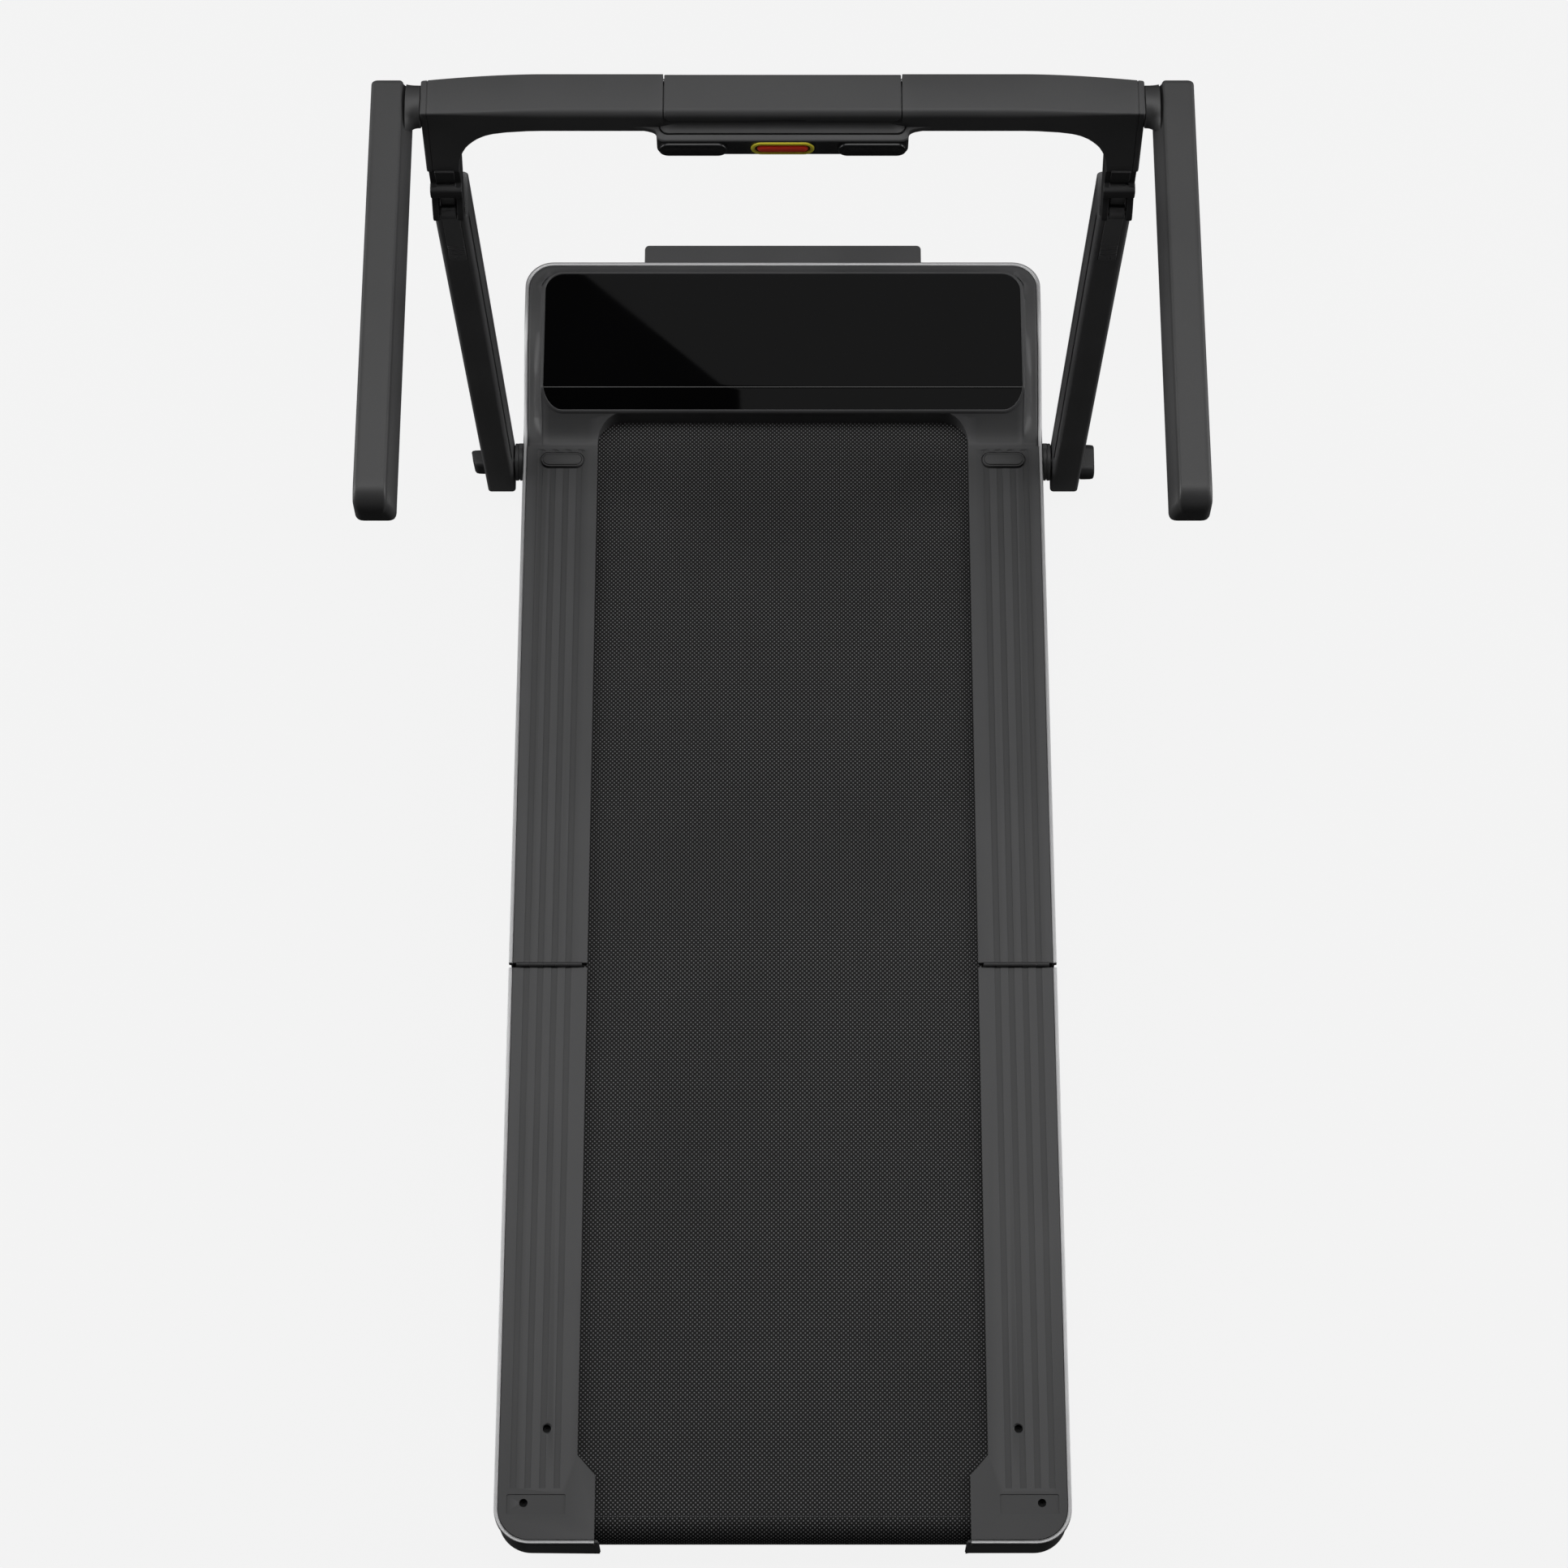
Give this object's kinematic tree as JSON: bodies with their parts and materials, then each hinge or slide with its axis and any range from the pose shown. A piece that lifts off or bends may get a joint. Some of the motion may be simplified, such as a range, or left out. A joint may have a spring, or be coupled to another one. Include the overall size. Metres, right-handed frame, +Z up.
{
  "type": "folding treadmill",
  "caption": "Folding treadmill: hinged two-part running deck with side rails and a glass-topped motor hood, leaning uprights, a slim console crossbar and long armrests.",
  "frame": {"origin": "on the floor, under the middle of the whole treadmill's bounding box", "axes": "+X across the deck to the user's right when facing the console, +Y along the deck towards the motor hood, +Z up"},
  "size_m": [0.765, 1.4884, 0.92],
  "materials": {
    "rail_plastic": "satin",
    "console_plastic": "satin",
    "arm_plastic": "satin",
    "silver_trim": "brushed",
    "glossy_glass": "gloss",
    "black_plastic": "satin",
    "fascia_gloss": "gloss",
    "upright_paint": "satin",
    "frame_paint": "satin",
    "steel": "brushed",
    "controller_metal": "satin",
    "circuit_board": "satin",
    "deck_wood": "matt",
    "rubber": "matt",
    "belt_rubber": "matt",
    "switch_red": "gloss",
    "key_red": "satin",
    "socket_yellow": "satin"
  },
  "bodies": {
    "front_base": {"front_frame": "frame_paint", "front_deck_board": "deck_wood", "deck_cushions": "rubber", "left_front_rail": "rail_plastic", "right_front_rail": "rail_plastic", "front_trim": "silver_trim", "hood_shell": "rail_plastic", "hood_glass": "glossy_glass", "display_board": "circuit_board", "front_bottom_cover": "black_plastic", "motor_housing": "frame_paint", "drive_belt": "rubber", "motor_controller": "controller_metal", "power_inlet": "black_plastic", "switch_housing": "black_plastic", "front_stand_block": "rail_plastic", "front_feet": "rubber", "rail_buffer_pads": "rubber", "front_roller_axle": "steel", "pivot_brackets": "upright_paint", "running_belt_front": "belt_rubber", "front_hinge_leaves": "upright_paint", "fold_hinge_pins": "steel"},
    "rotor": {"motor_rotor": "steel"},
    "front_drum": {"front_roller": "steel"},
    "switch": {"power_switch": "switch_red"},
    "wheels": {"wheel_axle": "steel", "transport_wheels": "rubber"},
    "rear_deck": {"rear_frame": "frame_paint", "rear_deck_board": "deck_wood", "left_rear_rail": "rail_plastic", "right_rear_rail": "rail_plastic", "rear_trim": "silver_trim", "rear_bottom_cover": "black_plastic", "rear_roller_axle": "steel", "tension_bolts": "steel", "rear_feet": "rubber", "running_belt_rear": "belt_rubber", "rear_hinge_leaves": "upright_paint"},
    "rear_drum": {"rear_roller": "steel"},
    "uprights": {"left_upright": "upright_paint", "right_upright": "upright_paint", "pivot_shafts": "steel", "console_hinge_pins": "steel"},
    "left_latch": {"left_latch_slider": "black_plastic"},
    "right_latch": {"right_latch_slider": "black_plastic"},
    "left_knob": {"left_pivot_knob": "black_plastic"},
    "right_knob": {"right_pivot_knob": "black_plastic"},
    "console": {"crossbar_shell": "console_plastic", "crossbar_beam": "frame_paint", "console_fascia": "fascia_gloss", "console_board": "circuit_board", "flap_hinge_pin": "steel", "key_socket": "socket_yellow"},
    "flap": {"tablet_flap": "console_plastic"},
    "left_pad": {"left_control_pad": "fascia_gloss"},
    "right_pad": {"right_control_pad": "fascia_gloss"},
    "key": {"safety_key": "key_red"},
    "left_arm": {"left_armrest": "arm_plastic"},
    "right_arm": {"right_armrest": "arm_plastic"}
  },
  "joints": [
    {"name": "deck_fold", "type": "hinge", "parent": "front_base", "child": "rear_deck", "pos_m": [0, -0.12175, 0.0697], "axis": [-1, 0, 0], "range_deg": [0, 180]},
    {"name": "upright_fold", "type": "hinge", "parent": "front_base", "child": "uprights", "pos_m": [0, 0.49395, 0.045], "axis": [1, 0, 0], "range_deg": [0, 64]},
    {"name": "console_fold", "type": "hinge", "parent": "uprights", "child": "console", "pos_m": [0, 0.38657, 0.7716], "axis": [1, 0, 0], "range_deg": [0, 180]},
    {"name": "left_armrest_fold", "type": "hinge", "parent": "console", "child": "left_arm", "pos_m": [-0.34, 0.41825, 0.9035], "axis": [-1, 0, 0], "range_deg": [0, 84]},
    {"name": "right_armrest_fold", "type": "hinge", "parent": "console", "child": "right_arm", "pos_m": [0.34, 0.41825, 0.9035], "axis": [-1, 0, 0], "range_deg": [0, 84]},
    {"name": "left_knob_turn", "type": "hinge", "parent": "uprights", "child": "left_knob", "pos_m": [-0.343, 0.49395, 0.045], "axis": [1, 0, 0], "range_deg": [-60, 60]},
    {"name": "right_knob_turn", "type": "hinge", "parent": "uprights", "child": "right_knob", "pos_m": [0.343, 0.49395, 0.045], "axis": [1, 0, 0], "range_deg": [-60, 60]},
    {"name": "left_latch_slide", "type": "slide", "parent": "uprights", "child": "left_latch", "axis": [0, 0.1097, -0.994], "range_m": [0, 0.01], "stiffness_N_per_m": 300},
    {"name": "right_latch_slide", "type": "slide", "parent": "uprights", "child": "right_latch", "axis": [0, 0.1097, -0.994], "range_m": [0, 0.01], "stiffness_N_per_m": 300},
    {"name": "flap_open", "type": "hinge", "parent": "console", "child": "flap", "pos_m": [0, 0.43925, 0.915], "axis": [-1, 0, 0], "range_deg": [0, 75]},
    {"name": "left_pad_press", "type": "slide", "parent": "console", "child": "left_pad", "axis": [0, 1, 0], "range_m": [0, 0.002], "stiffness_N_per_m": 400},
    {"name": "right_pad_press", "type": "slide", "parent": "console", "child": "right_pad", "axis": [0, 1, 0], "range_m": [0, 0.002], "stiffness_N_per_m": 400},
    {"name": "key_pull", "type": "slide", "parent": "console", "child": "key", "axis": [0, -1, 0], "range_m": [0, 0.025]},
    {"name": "front_roller_spin", "type": "hinge", "parent": "front_base", "child": "front_drum", "pos_m": [0, 0.55025, 0.039], "axis": [-1, 0, 0], "continuous": true},
    {"name": "rear_roller_spin", "type": "hinge", "parent": "rear_deck", "child": "rear_drum", "pos_m": [0, -0.71475, 0.039], "axis": [-1, 0, 0], "continuous": true},
    {"name": "motor_spin", "type": "hinge", "parent": "front_base", "child": "rotor", "pos_m": [0, 0.65325, 0.055], "axis": [-1, 0, 0], "continuous": true},
    {"name": "wheels_spin", "type": "hinge", "parent": "front_base", "child": "wheels", "pos_m": [0, 0.69825, 0.018], "axis": [-1, 0, 0], "continuous": true},
    {"name": "switch_rock", "type": "hinge", "parent": "front_base", "child": "switch", "pos_m": [0.18, 0.71025, 0.041], "axis": [1, 0, 0], "range_deg": [0, 10]}
  ],
  "couplings": [
    {"joint": "rear_roller_spin", "follows": "front_roller_spin", "ratio": 1},
    {"joint": "motor_spin", "follows": "front_roller_spin", "ratio": 1.7724}
  ]
}
